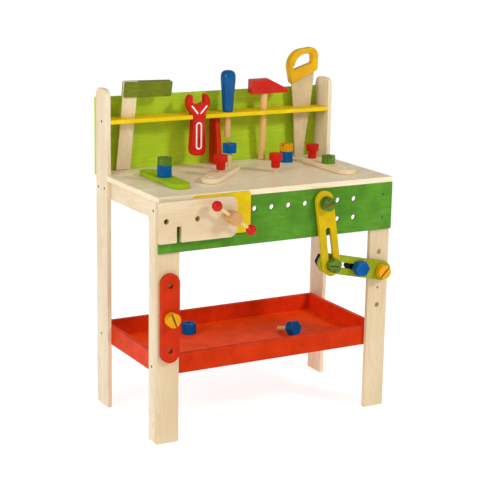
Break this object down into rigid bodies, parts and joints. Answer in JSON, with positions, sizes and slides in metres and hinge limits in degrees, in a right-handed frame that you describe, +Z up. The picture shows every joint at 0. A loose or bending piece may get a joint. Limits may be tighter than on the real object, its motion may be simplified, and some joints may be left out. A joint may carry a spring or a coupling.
{
  "type": "toy workbench",
  "caption": "Wooden toy workbench with a rail of lift-out tools, a screw vise, a storage tray, perforated strips, and bolts, nuts and pegs.",
  "frame": {"origin": "on the floor, under the middle of the bench's overall box", "axes": "+Z up; +X to the right of a child who stands in front of the vise; +Y from the front apron to the back panel"},
  "size_m": [0.5669, 0.3746, 0.7724],
  "materials": {
    "natural_wood": "clear lacquered pale softwood",
    "worktop_wood": "clear lacquered pale plywood",
    "apron_green": "green stained wood with a satin lacquer, grain showing",
    "lime_panel": "lime green painted board",
    "rail_yellow": "yellow painted wood",
    "support_red": "red painted wood",
    "tray_orange": "orange-red painted wood",
    "screw_steel": "darkened countersunk steel screws",
    "dark_blue": "dark blue painted wood",
    "jaw_yellow": "yellow painted wood",
    "jaw_wood": "clear lacquered pale softwood",
    "dowel_wood": "clear lacquered beech dowel",
    "knob_wood": "turned and lacquered beech",
    "ball_red": "glossy red painted wood",
    "square_wood": "clear lacquered pale wood",
    "stock_olive": "olive green stained wood",
    "wrench_red": "glossy red painted wood with white painted lines",
    "handle_blue": "glossy blue painted wood",
    "head_red": "glossy red painted wood",
    "handle_yellow": "glossy yellow painted wood",
    "blade_tan": "matt tan painted plywood",
    "strip_yellow": "yellow painted wood",
    "strip_lime": "lime green painted wood",
    "strip_red": "orange-red painted wood",
    "strip_wood": "clear lacquered pale wood",
    "bolt_green": "green painted turned wood",
    "bolt_yellow": "yellow painted turned wood",
    "bolt_blue": "blue painted wood",
    "peg_red": "red painted turned wood"
  },
  "bodies": {
    "frame": {"rear_upright_left": "natural_wood", "rear_upright_right": "natural_wood", "front_leg_left": "natural_wood", "front_leg_left_side": "natural_wood", "front_leg_right": "natural_wood", "front_leg_right_side": "natural_wood", "side_rail_left": "natural_wood", "side_rail_right": "natural_wood", "rear_rail": "natural_wood", "worktop": "worktop_wood", "front_apron": "apron_green", "back_panel": "lime_panel", "tool_rail": "rail_yellow", "rail_support": "support_red", "tray_floor": "tray_orange", "tray_front": "tray_orange", "tray_back": "tray_orange", "tray_left": "tray_orange", "tray_right": "tray_orange", "frame_screws": "screw_steel", "back_nuts": "dark_blue", "vise_fixed_jaw": "jaw_yellow"},
    "vise_jaw": {"vise_front_jaw": "jaw_wood", "vise_guide_pins": "dowel_wood"},
    "vise_screw": {"vise_spindle": "knob_wood", "vise_bar": "dowel_wood", "vise_bar_balls": "ball_red"},
    "try_square": {"try_square_blade": "square_wood", "try_square_stock": "stock_olive"},
    "wrench_tool": {"wrench": "wrench_red"},
    "screwdriver": {"screwdriver_handle": "handle_blue", "screwdriver_shaft": "dowel_wood"},
    "hammer": {"hammer_head": "head_red", "hammer_handle": "dowel_wood"},
    "saw": {"saw_handle": "handle_yellow", "saw_blade": "blade_tan"},
    "yellow_link": {"strip_yellow_slotted": "strip_yellow"},
    "lime_link": {"strip_lime_slotted": "strip_lime"},
    "link_fastener": {"link_bolt": "bolt_green", "link_nut": "dark_blue"},
    "slot_fastener": {"slot_bolt": "bolt_blue", "slot_nut": "dark_blue"},
    "apron_pivot": {"pivot_bolt_apron": "bolt_green"},
    "leg_pivot": {"pivot_bolt_leg": "bolt_yellow"},
    "leg_strip": {"strip_red_leg": "strip_red"},
    "leg_bolt": {"leg_strip_bolt": "bolt_yellow"},
    "lime_strip": {"strip_lime_top": "strip_lime"},
    "green_bolt_left": {"bolt_green_left": "bolt_green"},
    "blue_nut_left": {"nut_blue_left": "bolt_blue"},
    "middle_strip": {"strip_natural_middle": "strip_wood"},
    "red_peg_middle": {"peg_red_middle": "peg_red"},
    "blue_bolt_middle": {"bolt_blue_middle": "bolt_blue"},
    "right_strip": {"strip_natural_right": "strip_wood"},
    "red_peg_right": {"peg_red_right": "peg_red"},
    "green_bolt_right": {"bolt_green_right": "bolt_green"},
    "red_peg_centre": {"peg_red_centre": "peg_red"},
    "yellow_bolt_centre": {"bolt_yellow_centre": "bolt_yellow"},
    "blue_nut_centre": {"nut_blue_centre": "bolt_blue"},
    "loose_nut": {"tray_nut": "bolt_blue"},
    "loose_bolt": {"tray_bolt": "bolt_blue"}
  },
  "joints": [
    {"name": "vise_slide", "type": "slide", "parent": "frame", "child": "vise_jaw", "axis": [0, -1, 0], "range_m": [0, 0.03]},
    {"name": "vise_screw_turn", "type": "hinge", "parent": "vise_jaw", "child": "vise_screw", "pos_m": [-0.1325, -0.175, 0.4755], "axis": [0, -1, 0], "range_deg": [0, 1800]},
    {"name": "try_square_lift", "type": "slide", "parent": "frame", "child": "try_square", "axis": [0.0206, -0.1676, 0.9856], "range_m": [0, 0.125]},
    {"name": "wrench_pull", "type": "slide", "parent": "frame", "child": "wrench_tool", "axis": [0, -1, 0], "range_m": [0, 0.06]},
    {"name": "screwdriver_lift", "type": "slide", "parent": "frame", "child": "screwdriver", "axis": [0, 0, 1], "range_m": [0, 0.065]},
    {"name": "hammer_lift", "type": "slide", "parent": "frame", "child": "hammer", "axis": [-0.0347, -0.0941, 0.995], "range_m": [0, 0.125]},
    {"name": "saw_lift", "type": "slide", "parent": "frame", "child": "saw", "axis": [0, 0, 1], "range_m": [0, 0.125]},
    {"name": "yellow_link_turn", "type": "hinge", "parent": "frame", "child": "yellow_link", "pos_m": [0.101, -0.142, 0.48], "axis": [0, -1, 0], "range_deg": [0, 10]},
    {"name": "lime_link_turn", "type": "hinge", "parent": "frame", "child": "lime_link", "pos_m": [0.2555, -0.132, 0.3145], "axis": [0, -1, 0], "range_deg": [-10, 0]},
    {"name": "link_bolt_slide", "type": "slide", "parent": "yellow_link", "child": "link_fastener", "axis": [-0.1522, 0, 0.9884], "range_m": [0, 0.0135]},
    {"name": "slot_bolt_slide", "type": "slide", "parent": "lime_link", "child": "slot_fastener", "axis": [-0.9756, 0, 0.2197], "range_m": [0, 0.01]},
    {"name": "apron_pivot_turn", "type": "hinge", "parent": "frame", "child": "apron_pivot", "pos_m": [0.101, -0.152, 0.48], "axis": [0, -1, 0], "continuous": true},
    {"name": "leg_pivot_turn", "type": "hinge", "parent": "frame", "child": "leg_pivot", "pos_m": [0.2555, -0.142, 0.3145], "axis": [0, -1, 0], "continuous": true},
    {"name": "leg_strip_turn", "type": "hinge", "parent": "frame", "child": "leg_strip", "pos_m": [-0.254, -0.132, 0.27], "axis": [0, -1, 0], "continuous": true},
    {"name": "leg_bolt_turn", "type": "hinge", "parent": "frame", "child": "leg_bolt", "pos_m": [-0.254, -0.142, 0.27], "axis": [0, -1, 0], "continuous": true},
    {"name": "lime_strip_turn", "type": "hinge", "parent": "frame", "child": "lime_strip", "pos_m": [-0.195, 0.016, 0.526], "axis": [0, 0, 1], "range_deg": [-60, 30]},
    {"name": "green_bolt_left_turn", "type": "hinge", "parent": "frame", "child": "green_bolt_left", "pos_m": [-0.195, 0.016, 0.56], "axis": [0, 0, 1], "continuous": true},
    {"name": "blue_nut_left_turn", "type": "hinge", "parent": "frame", "child": "blue_nut_left", "pos_m": [-0.195, 0.016, 0.545], "axis": [0, 0, 1], "continuous": true},
    {"name": "middle_strip_turn", "type": "hinge", "parent": "frame", "child": "middle_strip", "pos_m": [-0.061, 0.018, 0.526], "axis": [0, 0, 1], "range_deg": [-20, 8]},
    {"name": "red_peg_middle_lift", "type": "slide", "parent": "middle_strip", "child": "red_peg_middle", "axis": [0, 0, 1], "range_m": [0, 0.03]},
    {"name": "blue_bolt_middle_lift", "type": "slide", "parent": "middle_strip", "child": "blue_bolt_middle", "axis": [0, 0, 1], "range_m": [0, 0.02]},
    {"name": "right_strip_lift", "type": "slide", "parent": "frame", "child": "right_strip", "axis": [0, 0, 1], "range_m": [0, 0.03]},
    {"name": "red_peg_right_lift", "type": "slide", "parent": "right_strip", "child": "red_peg_right", "axis": [0, 0, 1], "range_m": [0, 0.03]},
    {"name": "green_bolt_right_lift", "type": "slide", "parent": "right_strip", "child": "green_bolt_right", "axis": [0, 0, 1], "range_m": [0, 0.045]},
    {"name": "red_peg_centre_lift", "type": "slide", "parent": "frame", "child": "red_peg_centre", "axis": [0, 0, 1], "range_m": [0, 0.03]},
    {"name": "yellow_bolt_centre_lift", "type": "slide", "parent": "frame", "child": "yellow_bolt_centre", "axis": [0, 0, 1], "range_m": [0, 0.05]},
    {"name": "blue_nut_centre_turn", "type": "hinge", "parent": "yellow_bolt_centre", "child": "blue_nut_centre", "pos_m": [0.157, 0.113, 0.533], "axis": [0, 0, 1], "continuous": true},
    {"name": "loose_nut_lift", "type": "slide", "parent": "frame", "child": "loose_nut", "axis": [0, 0, 1], "range_m": [0, 0.1]},
    {"name": "loose_bolt_lift", "type": "slide", "parent": "frame", "child": "loose_bolt", "axis": [0, 0, 1], "range_m": [0, 0.1]}
  ],
  "couplings": [
    {"joint": "vise_slide", "follows": "vise_screw_turn", "m_per_rad": 0.0009549},
    {"joint": "lime_link_turn", "follows": "yellow_link_turn", "ratio": -1},
    {"joint": "link_bolt_slide", "follows": "yellow_link_turn", "m_per_rad": 0.0733}
  ]
}
